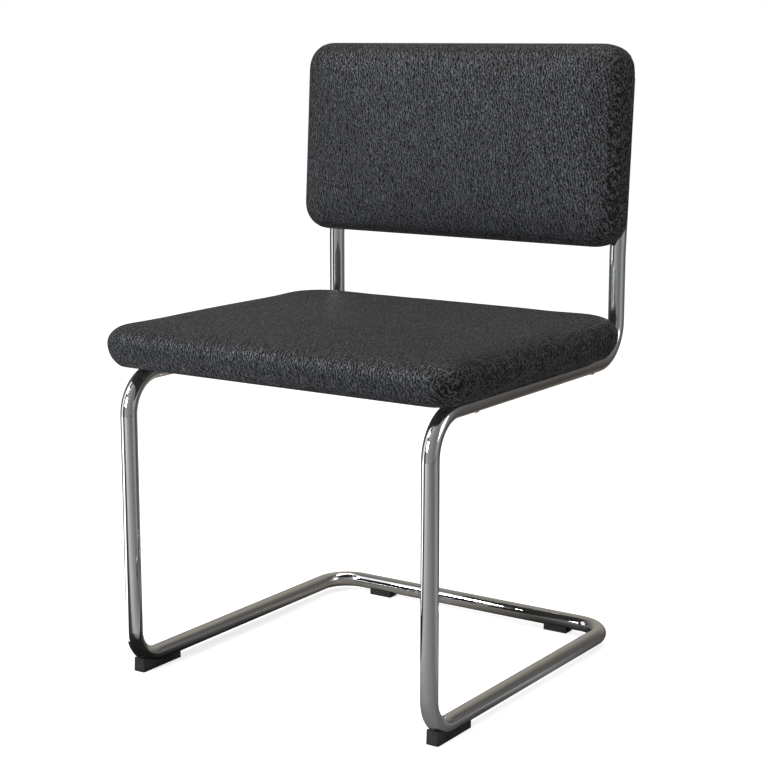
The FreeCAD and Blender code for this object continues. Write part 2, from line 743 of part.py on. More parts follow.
def opening_edges(pad, outward):
    """Half width, low and high edge of the gap in the leather under the board."""
    reach = PADS[pad]
    half = f"(Dims.frame_half_width - {TUBE_RADIUS} - Dims.return_margin + {outward})"
    low = f"({reach['low']} + Dims.{pad}_low_tuck + Dims.return_width - {outward})"
    high = f"({reach['high']} - Dims.{pad}_high_tuck - Dims.return_width + {outward})"
    return half, low, high


def make_leather(pad):
    """The leather: a closed skin with an opening underneath and four screw holes."""
    body = new_body(pad + "_leather", pad)
    pad_loft(body, "AdditiveLoft", "outside", pad, "0")
    pad_loft(body, "SubtractiveLoft", "inside", pad, "Dims.cover_thickness")
    above = ("0", "0", "Dims.cover_thickness + Dims.fit_gap")
    depth = "Dims.cover_thickness + 2 * Dims.fit_gap"
    opening = new_sketch(body, "opening", "XY_Plane", above)
    half, low, high = opening_edges(pad, "0")
    draw_rounded(opening, half, low, high, "Dims.layer_lap", "Dims.layer_lap")
    cut_down(body, "open_underside", opening, depth)
    holes = new_sketch(body, "screw_holes", "XY_Plane", above)
    draw_circles(holes, screw_centres(pad), "Dims.screw_hole")
    cut_down(body, "open_screw_holes", holes, depth)
    return body


def make_foam(pad):
    """The foam: it fills the leather, and the board is let into its underside."""
    name = pad + "_foam"
    body = new_body(name, pad)
    pad_loft(body, "AdditiveLoft", "block", pad, BOARD_BASE)
    bed = new_sketch(body, "board_bed", "XY_Plane", ("0", "0", f"{BOARD_TOP} + Dims.layer_gap"))
    board_outline(bed, pad, "Dims.fit_gap")
    cut_down(body, "bed", bed, f"{BOARD_TOP} + Dims.fit_gap")
    relief_top = f"{BOARD_TOP} + Dims.nut_flange + Dims.fit_gap"
    relief = new_sketch(body, "nut_relief", "XY_Plane", ("0", "0", relief_top))
    draw_circles(relief, screw_centres(pad), "Dims.nut_flange_diameter + 2 * Dims.fit_gap")
    cut_down(body, "reliefs", relief, "Dims.nut_flange + 2 * Dims.fit_gap")
    finish(name, body)


def make_plywood(pad):
    """The plywood, with holes for the barrels of the nuts."""
    body = new_body(pad + "_plywood", pad)
    outline = new_sketch(body, "board_outline", "XY_Plane", ("0", "0", BOARD_BASE))
    board_outline(outline, pad, "0")
    doc.recompute()
    feature(body, "Pad", "board", outline, "Dims.board_thickness")
    holes = new_sketch(body, "nut_holes", "XY_Plane", ("0", "0", f"{BOARD_TOP} + Dims.fit_gap"))
    draw_circles(holes, screw_centres(pad), "Dims.nut_barrel_diameter + 2 * Dims.layer_gap")
    cut_down(body, "open_nut_holes", holes, "Dims.board_thickness + 2 * Dims.fit_gap")
    return body


def make_nuts(pad):
    """Four flanged nuts, pushed into the board from above."""
    name = pad + "_tee_nuts"
    body = new_body(name, pad)
    bore = "(Dims.nut_bore / 2)"
    barrel = "(Dims.nut_barrel_diameter / 2)"
    flange = "(Dims.nut_flange_diameter / 2)"
    base = f"({BOARD_BASE} + Dims.nut_barrel_short)"
    seat = f"({BOARD_TOP} + Dims.layer_gap / 2)"
    top = f"({BOARD_TOP} + Dims.nut_flange)"
    nut = turned_at_screw(body, "nut", pad, [
        (bore, base),
        (barrel, base),
        (barrel, seat),
        (flange, seat),
        (flange, top),
        (bore, top),
    ])
    at_screws(body, [nut], pad)
    finish(name, body)


def make_screws(pad):
    """Four screws through the tube, with a hexagon socket in each raised head."""
    name = pad + "_screws"
    body = new_body(name, pad)
    head = "(Dims.screw_head / 2)"
    shank = "(Dims.screw_diameter / 2)"
    tip = f"({BOARD_TOP} + Dims.nut_flange - Dims.screw_short)"
    crest = f"({HEAD_PLANE} - Dims.screw_dome)"
    screw = turned_at_screw(body, "screw", pad, [
        ("0", tip),
        (shank, tip),
        (shank, f"{HEAD_PLANE} + {head} - {shank}"),
        (head, HEAD_PLANE),
        (f"0.8 * {head}", f"{HEAD_PLANE} - 0.6 * Dims.screw_dome"),
        (f"0.5 * {head}", crest),
        ("0", crest),
    ])
    doc.recompute()
    socket = new_sketch(body, "socket", "XY_Plane", ("0", "0", f"{crest} + Dims.socket_depth"))
    corners = []
    for turn in range(0, 360, 60):
        corners.append((
            f"Dims.frame_half_width + cos({turn} deg) * Dims.socket_width / sqrt(3)",
            f"{PADS[pad]['low_screw']} + sin({turn} deg) * Dims.socket_width / sqrt(3)",
        ))
    draw_polygon(socket, corners)
    recess = cut_down(body, "socket_recess", socket, "2 * Dims.socket_depth")
    at_screws(body, [screw, recess], pad)
    finish(name, body)


def make_layer(name, pad, thickness):
    """A flat sheet over the opening in the leather, between the two tubes."""
    body = new_body(name, pad)
    outline = new_sketch(body, "outline", "XY_Plane", ("0", "0", f"-Dims.layer_gap - {thickness}"))
    half, low, high = opening_edges(pad, "Dims.layer_lap")
    draw_rounded(outline, half, low, high, "Dims.layer_lap", "Dims.layer_lap")
    doc.recompute()
    feature(body, "Pad", "sheet", outline, thickness)
    return body


def staple_rows(body, name, along, centre, base, span, count, spread):
    """Two parallel rows of staples, made from the first staple of the first row."""
    x, y = centre
    plane, offset = {
        "X": ("XZ_Plane", (x, base, f"-{y}")),
        "Y": ("YZ_Plane", (y, base, x)),
    }[along]
    outline = new_sketch(body, name + "_outline", plane, offset)
    outside = "(Dims.staple_crown / 2)"
    inside = "(Dims.staple_crown / 2 - Dims.staple_flat)"
    draw_polygon(outline, [
        (f"-{outside}", "0"),
        (outside, "0"),
        (outside, "Dims.staple_leg"),
        (inside, "Dims.staple_leg"),
        (inside, "Dims.staple_flat"),
        (f"-{inside}", "Dims.staple_flat"),
        (f"-{inside}", "Dims.staple_leg"),
        (f"-{outside}", "Dims.staple_leg"),
    ])
    doc.recompute()
    staple = feature(body, "Pad", name + "_staple", outline, "Dims.staple_wire")
    staple.Midplane = True
    across = {"X": "Y", "Y": "X"}[along]
    row = row_of(body, name + "_row", along + "_Axis", span, count)
    pair = row_of(body, name + "_pair", across + "_Axis", spread, 2)
    repeat(body, name, [staple], row, pair)
    doc.recompute()


def make_staples(name, pad, outward, base, across, along):
    """Staples on all four sides, a named distance outside the opening in the leather."""
    body = new_body(name, pad)
    half, low, high = opening_edges(pad, outward)
    margin = "Dims.staple_margin"
    wide = f"2 * {half}"
    deep = f"({high} - {low})"
    first = f"(-{half})"
    staple_rows(body, "wide_rows", "X", (f"({first} + {margin})", low), base,
                f"{wide} - 2 * {margin}", across, deep)
    staple_rows(body, "deep_rows", "Y", (first, f"({low} + {margin})"), base,
                f"{deep} - 2 * {margin}", along, wide)
    return finish(name, body)


def make_studs():
    """Six push-in studs that hold the rear panel on the board."""
    body = new_body("back_panel_studs", "back")
    half, low, high = opening_edges("back", "(-Dims.stud_margin)")
    outline = new_sketch(body, "stud_outline", "XZ_Plane", (f"-{half}", "0", f"-{low}"))
    radius = "(Dims.stud_diameter / 2)"
    draw_polygon(outline, [
        ("0", "0"),
        (radius, "0"),
        (radius, f"Dims.stud_length - {radius} / 2"),
        (f"{radius} / 2", "Dims.stud_length"),
        ("0", "Dims.stud_length"),
    ])
    doc.recompute()
    stud = turned(body, "stud", outline)
    columns = row_of(body, "columns", "X_Axis", f"2 * {half}", 3)
    rows = row_of(body, "rows", "Y_Axis", f"{high} - {low}", 2)
    repeat(body, "grid", [stud], columns, rows)
    return finish("back_panel_studs", body)


# The leather's staples lie just outside the cloth or panel that covers the opening.
crown_base = "(-Dims.layer_gap - Dims.staple_flat)"
edge_line = "(Dims.layer_lap + Dims.staple_clear)"

# The seat, whose dust cloth is stapled over the opening.
cloth_base = f"({crown_base} - Dims.layer_gap - Dims.cloth_thickness)"
seat_cover_staples = make_staples("seat_cover_staples", "seat", edge_line, crown_base, 8, 7)
seat_cloth_staples = make_staples("seat_cloth_staples", "seat", "(Dims.layer_lap / 2)", cloth_base, 9, 8)
shaped("seat_cover", make_leather("seat"), seat_cover_staples, seat_cloth_staples)
make_foam("seat")
shaped("seat_board", make_plywood("seat"), seat_cover_staples, seat_cloth_staples)
seat_cloth = make_layer("seat_cloth", "seat", "Dims.cloth_thickness")
shaped("seat_dust_cloth", seat_cloth, seat_cloth_staples)
make_nuts("seat")
make_screws("seat")

# The back, whose thin rear panel is held by studs over the opening.
back_cover_staples = make_staples("back_cover_staples", "back", edge_line, crown_base, 8, 4)
back_studs = make_studs()
shaped("back_cover", make_leather("back"), back_cover_staples)
make_foam("back")
shaped("back_board", make_plywood("back"), back_cover_staples, back_studs)
finish("back_panel", make_layer("back_panel", "back", "Dims.panel_thickness"))
make_nuts("back")
make_screws("back")

doc.recompute()
for item in doc.Objects:
    if "Invalid" in item.State or "Error" in item.State:
        raise RuntimeError(item.Name + " did not build: " + str(item.State))
for node in NODES:
    if node.Shape.isNull() or not node.Shape.isValid():
        raise RuntimeError(node.Label + " is not a sound solid")

os.makedirs("parts", exist_ok=True)
for node in NODES:
    node.Shape.exportStep("parts/" + node.Label + ".step")
    print(f"{node.Label}: {len(node.Shape.Solids)} solid(s), {node.Shape.Volume / 1000:.1f} cm3")
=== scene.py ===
# %% [markdown]
# # Dressing a cantilever chair
#
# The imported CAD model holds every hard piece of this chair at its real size: one bent tube,
# two boards, a rear panel, glides, plugs, screws, nuts, staples and studs. This file adds what
# CAD can't: the two stuffed leather pads, the finishes, the lamps and the camera. All lengths
# are in metres, in the same frame as the CAD model, so nothing has to be moved into place.

import math

import bmesh
import bpy
from mathutils import Matrix, Vector


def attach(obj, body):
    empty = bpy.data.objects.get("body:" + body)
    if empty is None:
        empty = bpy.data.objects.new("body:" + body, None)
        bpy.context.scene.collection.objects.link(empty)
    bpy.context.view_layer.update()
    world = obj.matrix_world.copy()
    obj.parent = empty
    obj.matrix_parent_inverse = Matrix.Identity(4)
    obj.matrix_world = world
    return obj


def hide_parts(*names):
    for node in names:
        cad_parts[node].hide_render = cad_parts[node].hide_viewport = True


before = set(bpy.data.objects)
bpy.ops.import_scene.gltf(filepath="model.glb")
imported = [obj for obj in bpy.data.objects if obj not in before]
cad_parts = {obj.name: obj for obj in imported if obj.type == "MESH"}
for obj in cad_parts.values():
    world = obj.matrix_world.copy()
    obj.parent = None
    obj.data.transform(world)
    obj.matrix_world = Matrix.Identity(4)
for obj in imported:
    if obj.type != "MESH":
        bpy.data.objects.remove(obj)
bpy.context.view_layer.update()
bpy.context.scene.view_settings.view_transform = "Standard"
print("packed nodes:", len(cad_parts))

# %% [markdown]
# An operator works on everything that is selected, and the loaded nodes come in selected.
# So each step below first clears the selection, then picks the one object that it works on.

# %% Choose what an operator works on


def choose(piece):
    """Selects one object alone and makes it active."""
    if bpy.context.mode != "OBJECT":
        bpy.ops.object.mode_set(mode="OBJECT")
    bpy.ops.object.select_all(action="DESELECT")
    piece.select_set(True)
    bpy.context.view_layer.objects.active = piece


def edit_all(piece):
    """Enters edit mode with the whole mesh selected."""
    choose(piece)
    bpy.ops.object.mode_set(mode="EDIT")
    bpy.ops.mesh.select_all(action="SELECT")


def leave_edit():
    """Goes back to object mode."""
    bpy.ops.object.mode_set(mode="OBJECT")


def select_faces(piece, wanted):
    """Selects the faces whose middle is wanted, in edit mode, and gives back the mesh."""
    shape = bmesh.from_edit_mesh(piece.data)
    for face in shape.faces:
        face.select = wanted(face.calc_center_median())
    return shape


def finish_with(piece, kind, **settings):
    """Adds a modifier with its settings and applies it at once."""
    choose(piece)
    modifier = piece.modifiers.new(kind.title(), kind)
    for name, value in settings.items():
        setattr(modifier, name, value)
    bpy.ops.object.modifier_apply(modifier=modifier.name)


# %% [markdown]
# The photograph looks slightly down on the chair from its right front corner. The camera's
# place and its 85 mm lens come from a fit to the straight lengths of tube in the picture, so
# the legs, the runners and the crossbar fall where they are in the photograph.

# %% The camera
CAMERA_PLACE = (1.3252, -1.9654, 0.8337)
CAMERA_TURN = 33.842
CAMERA_DIP = 10.860
CAMERA_LENS = 85
CAMERA_SENSOR = 36

bpy.ops.object.camera_add(
    location=CAMERA_PLACE,
    rotation=(math.radians(90 - CAMERA_DIP), 0, math.radians(CAMERA_TURN)),
)
camera = bpy.context.object
camera.name = "camera"
camera.data.lens = CAMERA_LENS
camera.data.sensor_width = CAMERA_SENSOR
bpy.context.scene.camera = camera
print("camera looks", CAMERA_DIP, "degrees down")

# %% [markdown]
# ## Shader helpers
#
# A material is a small graph. Helpers keep the graphs readable: one adds a node with its
# settings, one joins an output to an input, and two more make and use a group of nodes. The
# sockets of a colour mix share their names with others, so they are picked by number.

# %% Nodes and links
MIX_LOW = 6
MIX_HIGH = 7
MIX_COLOUR = 2


def add_node(tree, kind, inputs=None, **settings):
    """A new shader node with its settings and its unlinked input values."""
    made = tree.nodes.new("ShaderNode" + kind)
    for name, value in settings.items():
        setattr(made, name, value)
    for name, value in (inputs or {}).items():
        made.inputs[name].default_value = value
    return made


def join(tree, output, target):
    """Links an output to an input."""
    tree.links.new(output, target)


def new_group(name, inputs, outputs):
    """A shader node group with named sockets, and its input and output nodes."""
    tree = bpy.data.node_groups.new(name, "ShaderNodeTree")
    for title, value in inputs.items():
        kind = "NodeSocketVector" if title == "Vector" else "NodeSocketFloat"
        socket = tree.interface.new_socket(title, in_out="INPUT", socket_type=kind)
        if title != "Vector":
            socket.default_value = value
    for title in outputs:
        tree.interface.new_socket(title, in_out="OUTPUT", socket_type="NodeSocketFloat")
    return tree, tree.nodes.new("NodeGroupInput"), tree.nodes.new("NodeGroupOutput")


def use_group(tree, group, place, **inputs):
    """Places a group in a material, fed with coordinates and its own values."""
    made = tree.nodes.new("ShaderNodeGroup")
    made.node_tree = group
    join(tree, place, made.inputs["Vector"])
    for title, value in inputs.items():
        made.inputs[title.replace("_", " ")].default_value = value
    return made


# %% [markdown]
# ### A leather grain
#
# Faux leather is embossed: short raised ridges, about three millimetres from one to the next,
# with narrow creases between them, which the leather colours black as painted shade. On the
# photograph's pads they look like rice grains that mostly stand upright. A wave texture gives
# ridges at an even distance, and a noise that bends its coordinates by less than a ridge breaks
# them into short, winding pieces. A second, much finer noise roughens their tops.

# %% The grain group
NOISE_MIDDLE = 0.5
FINE_SHARE = 0.22


def make_grain_group():
    tree, start, end = new_group(
        "leather grain", {"Vector": None, "Ridges": 94.0, "Bend": 0.0045}, ["Height", "Crease"]
    )
    bend = add_node(tree, "TexNoise", {"Scale": 200.0, "Detail": 0.0})
    join(tree, start.outputs["Vector"], bend.inputs["Vector"])
    centred = add_node(tree, "VectorMath", operation="SUBTRACT")
    centred.inputs[1].default_value = (NOISE_MIDDLE, NOISE_MIDDLE, NOISE_MIDDLE)
    join(tree, bend.outputs["Color"], centred.inputs[0])
    scaled = add_node(tree, "VectorMath", operation="SCALE")
    join(tree, centred.outputs["Vector"], scaled.inputs[0])
    join(tree, start.outputs["Bend"], scaled.inputs["Scale"])
    bent = add_node(tree, "VectorMath", operation="ADD")
    join(tree, start.outputs["Vector"], bent.inputs[0])
    join(tree, scaled.outputs["Vector"], bent.inputs[1])
    ridges = add_node(
        tree, "TexWave", {"Distortion": 6.0, "Detail": 1.0, "Detail Scale": 3.0},
        bands_direction="X", wave_profile="SIN",
    )
    join(tree, bent.outputs["Vector"], ridges.inputs["Vector"])
    join(tree, start.outputs["Ridges"], ridges.inputs["Scale"])
    rounded = add_node(
        tree, "MapRange", {"From Min": 0.25, "From Max": 0.85}, interpolation_type="SMOOTHSTEP"
    )
    join(tree, ridges.outputs["Fac"], rounded.inputs["Value"])
    fine = add_node(tree, "TexNoise", {"Scale": 900.0, "Detail": 3.0})
    join(tree, start.outputs["Vector"], fine.inputs["Vector"])
    height = add_node(tree, "Math", operation="MULTIPLY_ADD")
    height.inputs[1].default_value = FINE_SHARE
    join(tree, fine.outputs["Fac"], height.inputs[0])
    join(tree, rounded.outputs["Result"], height.inputs[2])
    join(tree, height.outputs["Value"], end.inputs["Height"])
    crease = add_node(tree, "Math", operation="SUBTRACT", use_clamp=True)
    crease.inputs[0].default_value = 1.0
    join(tree, rounded.outputs["Result"], crease.inputs[1])
    join(tree, crease.outputs["Value"], end.inputs["Crease"])
    return tree


leather_grain = make_grain_group()

# %% [markdown]
# ### Uneven handling
#
# No real surface is even. Fingers leave faint smears on chrome, plastic dulls in patches, and
# a stretched cover is a little lighter where it pulls. One group gives such a slow, soft
# pattern between 0 and 1, and each material that needs it uses it with its own size.

# %% The mottle group
MOTTLE_GAIN = 6.0


def make_mottle_group():
    tree, start, end = new_group(
        "soft mottle", {"Vector": None, "Size": 8.0, "Contrast": 0.5}, ["Mottle"]
    )
    noise = add_node(tree, "TexNoise", {"Detail": 5.0, "Roughness": 0.62})
    join(tree, start.outputs["Vector"], noise.inputs["Vector"])
    join(tree, start.outputs["Size"], noise.inputs["Scale"])
    wide = add_node(tree, "Math", operation="MULTIPLY_ADD", use_clamp=True)
    wide.inputs[2].default_value = NOISE_MIDDLE
    centred = add_node(tree, "Math", operation="SUBTRACT")
    centred.inputs[1].default_value = NOISE_MIDDLE
    join(tree, noise.outputs["Fac"], centred.inputs[0])
    strength = add_node(tree, "Math", operation="MULTIPLY")
    strength.inputs[1].default_value = MOTTLE_GAIN
    join(tree, start.outputs["Contrast"], strength.inputs[0])
    join(tree, centred.outputs["Value"], wide.inputs[0])
    join(tree, strength.outputs["Value"], wide.inputs[1])
    join(tree, wide.outputs["Value"], end.inputs["Mottle"])
    return tree


soft_mottle = make_mottle_group()

# %% [markdown]
# ### One start for every material
#
# Each finish below begins the same way: a Principled shader, object coordinates and, where it
# is wanted, a colour that runs between two tones and a roughness that runs between two values.

# %% Start a material


def new_finish(name, metallic=0.0, **constant):
    """A material with its shader and its object coordinates."""
    finish = bpy.data.materials.new(name)
    finish.use_nodes = True
    tree = finish.node_tree
    shader = tree.nodes["Principled BSDF"]
    shader.inputs["Metallic"].default_value = metallic
    for title, value in constant.items():
        shader.inputs[title.replace("_", " ")].default_value = value
    place = add_node(tree, "TexCoord").outputs["Object"]
    return finish, tree, shader, place


def two_tones(tree, mask, low, high):
    """A colour that runs from low to high as the mask goes from 0 to 1."""
    mix = add_node(tree, "Mix", data_type="RGBA")
    mix.inputs[MIX_LOW].default_value = (*low, 1)
    mix.inputs[MIX_HIGH].default_value = (*high, 1)
    join(tree, mask, mix.inputs["Factor"])
    return mix.outputs[MIX_COLOUR]


def span(tree, mask, low, high):
    """A number that runs from low to high as the mask goes from 0 to 1."""
    mapped = add_node(tree, "MapRange", {"To Min": low, "To Max": high})
    join(tree, mask, mapped.inputs["Value"])
    return mapped.outputs["Result"]


def bump(tree, shader, height, depth, strength=1.0):
    """Raises the surface by up to depth metres in the shading."""
    made = add_node(tree, "Bump", {"Strength": strength, "Distance": depth})
    join(tree, height, made.inputs["Height"])
    join(tree, made.outputs["Normal"], shader.inputs["Normal"])


# %% [markdown]
# ### Chrome
#
# The tube is polished steel under a chrome plate, as bright as a mirror. Nearly all of its look
# is what it reflects, so the colour stays plain and pale. Faint smears change the roughness,
# and drawing the tube leaves a faint waviness, which makes reflections run in slightly uneven
# streaks.

# %% Chrome


def make_chrome():
    finish, tree, shader, place = new_finish("chrome plate", metallic=1.0)
    smears = use_group(tree, soft_mottle, place, Size=9.0, Contrast=0.6).outputs["Mottle"]
    join(
        tree,
        two_tones(tree, smears, (0.86, 0.86, 0.87), (0.93, 0.93, 0.94)),
        shader.inputs["Base Color"],
    )
    join(tree, span(tree, smears, 0.015, 0.04), shader.inputs["Roughness"])
    wave = add_node(tree, "TexNoise", {"Scale": 55.0, "Detail": 1.0})
    join(tree, place, wave.inputs["Vector"])
    bump(tree, shader, wave.outputs["Fac"], 0.00003, 0.5)
    return finish


chrome = make_chrome()

# %% [markdown]
# ### Black leather
#
# The cover is charcoal, nearly black. Its ridges catch the light, and its creases are dull and
# coloured nearly black as painted shade, and that makes the pale speckle on both pads in the
# photograph. Roughness therefore follows the grain: smoother on the ridges, rough in the
# creases.
# The grain is turned a little, so that no ridge runs along an edge of a pad.

# %% Black leather
GRAIN_TURN = (0, math.radians(14), math.radians(24))
# The near-black colour of the creases is painted shade.
CREASE_SHADE_TONE = (0.001, 0.001, 0.001)


def make_leather():
    finish, tree, shader, place = new_finish("black grained leather", Specular_IOR_Level=0.4)
    turned = add_node(tree, "Mapping", {"Rotation": GRAIN_TURN})
    join(tree, place, turned.inputs["Vector"])
    grain = use_group(tree, leather_grain, turned.outputs["Vector"], Ridges=94.0, Bend=0.0045)
    worn = use_group(tree, soft_mottle, place, Size=5.0, Contrast=0.35).outputs["Mottle"]
    raised = two_tones(tree, worn, (0.050, 0.052, 0.058), (0.067, 0.070, 0.077))
    mix = add_node(tree, "Mix", data_type="RGBA")
    # Painted shade: the creases are coloured nearly black.
    mix.inputs[MIX_HIGH].default_value = (*CREASE_SHADE_TONE, 1)
    join(tree, raised, mix.inputs[MIX_LOW])
    join(tree, grain.outputs["Crease"], mix.inputs["Factor"])
    join(tree, mix.outputs[MIX_COLOUR], shader.inputs["Base Color"])
    join(tree, span(tree, grain.outputs["Crease"], 0.42, 0.8), shader.inputs["Roughness"])
    bump(tree, shader, grain.outputs["Height"], 0.0012)
    return finish


leather = make_leather()

# %% [markdown]
# ### Black plastic
#
# Glides, plugs and studs are moulded in black plastic with a fine spark-eroded texture. A very
# small noise in the bump and patches of dullness keep them from looking like paint.

# %% Black plastic


def make_plastic():
    finish, tree, shader, place = new_finish("black moulded plastic")
    worn = use_group(tree, soft_mottle, place, Size=60.0, Contrast=0.5).outputs["Mottle"]
    join(
        tree,
        two_tones(tree, worn, (0.012, 0.012, 0.013), (0.030, 0.030, 0.031)),
        shader.inputs["Base Color"],
    )
    join(tree, span(tree, worn, 0.42, 0.6), shader.inputs["Roughness"])
    texture = add_node(tree, "TexNoise", {"Scale": 2200.0, "Detail": 2.0})
    join(tree, place, texture.inputs["Vector"])
    bump(tree, shader, texture.outputs["Fac"], 0.0001, 0.6)
    return finish


plastic = make_plastic()

# %% [markdown]
# ### Rear panel
#
# The back's opening is closed with a thin panel of grained black sheet, between the uprights.
# It carries the same kind of grain as the leather, but finer and flatter.

# %% Rear panel


def make_panel():
    finish, tree, shader, place = new_finish("grained black sheet")
    grain = use_group(tree, leather_grain, place, Ridges=130.0, Bend=0.005)
    rubbed = use_group(tree, soft_mottle, place, Size=12.0, Contrast=0.5).outputs["Mottle"]
    join(
        tree,
        two_tones(tree, rubbed, (0.018, 0.018, 0.019), (0.036, 0.036, 0.038)),
        shader.inputs["Base Color"],
    )
    join(tree, span(tree, grain.outputs["Crease"], 0.48, 0.68), shader.inputs["Roughness"])
    bump(tree, shader, grain.outputs["Height"], 0.0002)
    return finish


panel_sheet = make_panel()

# %% [markdown]
# ### What the pads hold
#
# None of the next three materials shows when the chair stands, but they do when it is turned
# over or taken apart. The foam is cream and full of small open cells.

# %% Foam


def make_foam():
    finish, tree, shader, place = new_finish("open cell foam", Roughness=0.95)
    cells = add_node(tree, "TexVoronoi", {"Scale": 900.0})
    join(tree, place, cells.inputs["Vector"])
    join(
        tree,
        two_tones(tree, cells.outputs["Distance"], (0.80, 0.75, 0.56), (0.55, 0.49, 0.33)),
        shader.inputs["Base Color"],
    )
    bump(tree, shader, cells.outputs["Distance"], 0.0006)
    return finish


foam = make_foam()

# %% [markdown]
# The boards are birch plywood: long grain on their faces, and pale and dark plies at their
# edges, each 3 mm thick. The back leans, so its plywood is turned with it.

# %% Plywood
GRAIN_STRETCH = (6, 90, 90)
PLY_CONTRAST = 0.35


def make_plywood(name, edge_turn):
    """Plywood whose plies lie across the direction that edge_turn turns into Z."""
    finish, tree, shader, place = new_finish(name)
    turned = add_node(tree, "Mapping", {"Rotation": (edge_turn, 0, 0)})
    join(tree, place, turned.inputs["Vector"])
    stretched = add_node(tree, "Mapping", {"Scale": GRAIN_STRETCH})
    join(tree, turned.outputs["Vector"], stretched.inputs["Vector"])
    grain = add_node(tree, "TexNoise", {"Scale": 1.0, "Detail": 6.0, "Distortion": 0.6})
    join(tree, stretched.outputs["Vector"], grain.inputs["Vector"])
    plies = add_node(tree, "TexWave", {"Scale": 52.0}, bands_direction="Z", wave_profile="SIN")
    join(tree, turned.outputs["Vector"], plies.inputs["Vector"])
    veneer = two_tones(tree, grain.outputs["Fac"], (0.46, 0.30, 0.16), (0.74, 0.57, 0.37))
    layered = add_node(tree, "Mix", data_type="RGBA", blend_type="MULTIPLY")
    layered.inputs["Factor"].default_value = PLY_CONTRAST
    join(tree, veneer, layered.inputs[MIX_LOW])
    join(tree, plies.outputs["Color"], layered.inputs[MIX_HIGH])
    join(tree, layered.outputs[MIX_COLOUR], shader.inputs["Base Color"])
    join(tree, span(tree, grain.outputs["Fac"], 0.75, 0.55), shader.inputs["Roughness"])
    bump(tree, shader, grain.outputs["Fac"], 0.0002)
    return finish


BACK_TILT = math.radians(3.7)
QUARTER_TURN = math.radians(90)
seat_plywood = make_plywood("seat plywood", 0.0)
back_plywood = make_plywood("back plywood", QUARTER_TURN - BACK_TILT)

# %% [markdown]
# The dust cloth is a thin felt of black fibres.

# %% Dust cloth


def make_dust_cloth():
    finish, tree, shader, place = new_finish("black dust cloth")
    fibres = add_node(tree, "TexNoise", {"Scale": 700.0, "Detail": 6.0, "Distortion": 2.0})
    join(tree, place, fibres.inputs["Vector"])
    join(
        tree,
        two_tones(tree, fibres.outputs["Fac"], (0.008, 0.008, 0.009), (0.05, 0.05, 0.052)),
        shader.inputs["Base Color"],
    )
    join(tree, span(tree, fibres.outputs["Fac"], 0.95, 0.8), shader.inputs["Roughness"])
    bump(tree, shader, fibres.outputs["Fac"], 0.0003)
    return finish


dust_cloth = make_dust_cloth()

# %% [markdown]
# ### Zinc plated steel
#
# Screws, nuts and staples are bright zinc, a little milky, with the faint blue and yellow
# clouds that the plating bath leaves.

# %% Zinc plate


def make_zinc():
    finish, tree, shader, place = new_finish("bright zinc", metallic=1.0)
    cloud = use_group(tree, soft_mottle, place, Size=220.0, Contrast=0.7).outputs["Mottle"]
    join(
        tree,
        two_tones(tree, cloud, (0.58, 0.60, 0.64), (0.70, 0.68, 0.62)),
        shader.inputs["Base Color"],
    )
    join(tree, span(tree, cloud, 0.22, 0.38), shader.inputs["Roughness"])
    marks = add_node(tree, "TexNoise", {"Scale": 1500.0, "Detail": 2.0})
    join(tree, place, marks.inputs["Vector"])
    bump(tree, shader, marks.outputs["Fac"], 0.00005, 0.5)
    return finish


zinc = make_zinc()

# %% [markdown]
# ## Dress the hard pieces
#
# The hard pieces already have their true shape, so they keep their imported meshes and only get
# a finish.

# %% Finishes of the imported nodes
node_finish = {
    "tube_frame": chrome,
    "back_panel": panel_sheet,
    "seat_board": seat_plywood,
    "back_board": back_plywood,
    "seat_dust_cloth": dust_cloth,
}
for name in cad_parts:
    if "glide" in name or "cap" in name or "stud" in name:
        node_finish[name] = plastic
    if "screws" in name or "nuts" in name or "staples" in name:
        node_finish[name] = zinc


def dress(piece, finish):
    """Puts the finish in every material slot of the piece, or in a new one."""
    if not piece.material_slots:
        piece.data.materials.append(finish)
    for slot in piece.material_slots:
        slot.material = finish


for name, finish in node_finish.items():
    dress(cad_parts[name], finish)
print("dressed", len(node_finish), "packed nodes")

# %% [markdown]
# ## The pads
#
# Each pad is a plywood board under foam, wrapped in one sheet of leather that is pulled tight
# and stapled underneath. Nothing on it is quite flat: the foam pushes the leather out, most in
# the middle of each face and least along the board. That is why the shape is found by a cloth
# simulation and not drawn. The pad starts as the hull of its CAD cover and is filled from
# inside with pressure, while the face on the board is held still.
#
# For each pad below, foot is a point on the plane of its board side. Outward points from that
# plane to the person who sits down, and along lies in the plane, rearwards on the seat and
# upwards on the back. Opening gives half the width of the opening in the leather, and where it
# starts and ends along the pad, measured from the foot. Voxel is the size of the mesh's squares.

# %% Where the two pads lie
UP = Vector((0, 0, 1))
BACK_UP = Vector((0, math.sin(BACK_TILT), math.cos(BACK_TILT)))
BACK_FRONT = Vector((0, -math.cos(BACK_TILT), math.sin(BACK_TILT)))
PADS = {
    "seat": {
        "foot": Vector((0, 0, 0.4143)),
        "outward": UP,
        "along": Vector((0, 1, 0)),
        "opening": (0.2065, -0.1992, 0.1416),
        "voxel": 0.0065,
    },
    "back": {
        "foot": Vector((0, 0.21982, 0.54523)),
        "outward": BACK_FRONT,
        "along": BACK_UP,
        "opening": (0.2065, 0.0571, 0.2307),
        "voxel": 0.0055,
    },
}


def depth_in(pad, point):
    """How far a point lies in front of the plane that the pad's board side is on."""
    return (point - pad["foot"]).dot(pad["outward"])


# %% [markdown]
# The hull of the CAD cover is the pad's outer form. A voxel remesh gives it an even skin of
# small squares, which is what a cloth needs: long thin faces would stretch unevenly. The
# remesh eats a little off the form, so it is laid back on the hull afterwards.

# %% The closed form of a pad
WELD_DISTANCE = 0.00001


